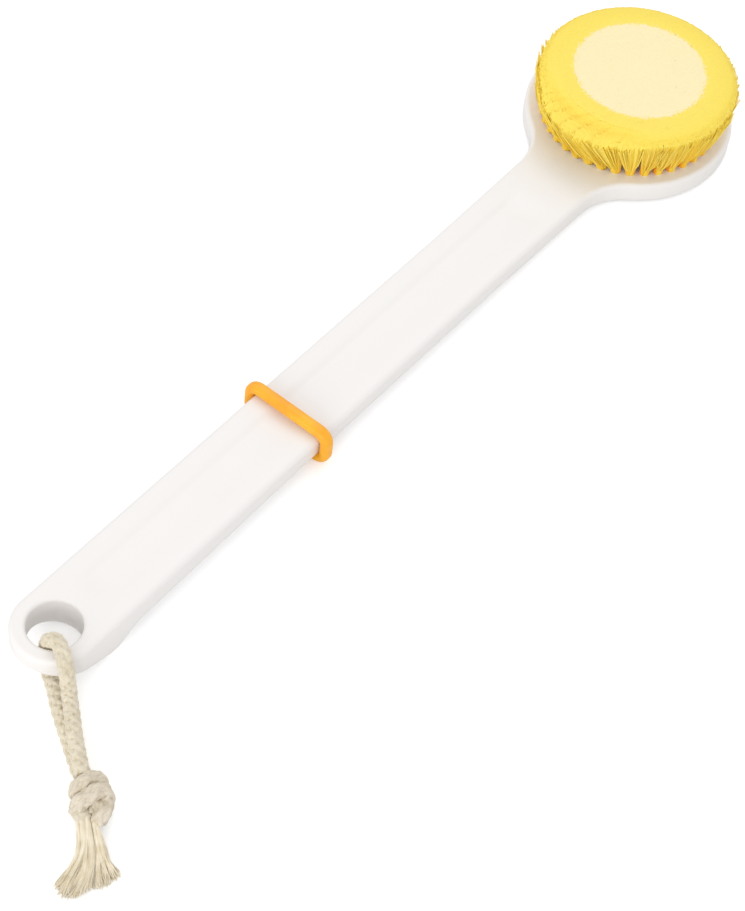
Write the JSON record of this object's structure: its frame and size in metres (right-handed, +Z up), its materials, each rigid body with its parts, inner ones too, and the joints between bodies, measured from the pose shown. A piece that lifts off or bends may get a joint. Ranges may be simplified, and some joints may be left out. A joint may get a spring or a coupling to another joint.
{
  "type": "long-handled body dry brush",
  "caption": "Round bristle head on a long slim plastic handle with a rubber grip ring and a knotted cotton hanging rope.",
  "frame": {"origin": "on the resting face, under the middle of the round head", "axes": "+X from the hanging hole towards the head, +Z up through the bristles, +Y across the handle"},
  "size_m": [0.4507, 0.1205, 0.033],
  "materials": {
    "handle": "white injection-moulded plastic, satin",
    "bristle_yellow": "dyed yellow filaments",
    "bristle_cream": "cream filaments",
    "anchor_wire": "flat drawn wire",
    "ring_rubber": "orange rubber, soft sheen",
    "rope_cotton": "natural cotton, braided, frayed at the ends"
  },
  "bodies": {
    "brush": {"handle_body": "handle", "tuft_row_1": "bristle_yellow", "tuft_row_2": "bristle_yellow", "tuft_row_3": "bristle_cream", "tuft_row_4": "bristle_cream", "tuft_row_5": "bristle_cream", "tuft_row_6": "bristle_cream", "tuft_centre": "bristle_cream", "anchor_row_1": "anchor_wire", "anchor_row_2": "anchor_wire", "anchor_row_3": "anchor_wire", "anchor_row_4": "anchor_wire", "anchor_row_5": "anchor_wire", "anchor_row_6": "anchor_wire", "anchor_centre": "anchor_wire", "rope_front_strand": "rope_cotton", "rope_back_strand": "rope_cotton", "rope_knot": "rope_cotton", "frayed_end_left": "rope_cotton", "frayed_end_right": "rope_cotton"},
    "ring": {"grip_ring": "ring_rubber"}
  },
  "joints": [
    {"name": "ring_slide", "type": "slide", "parent": "brush", "child": "ring", "axis": [0.9998, 0, -0.0209], "range_m": [-0.008, 0.1]}
  ]
}
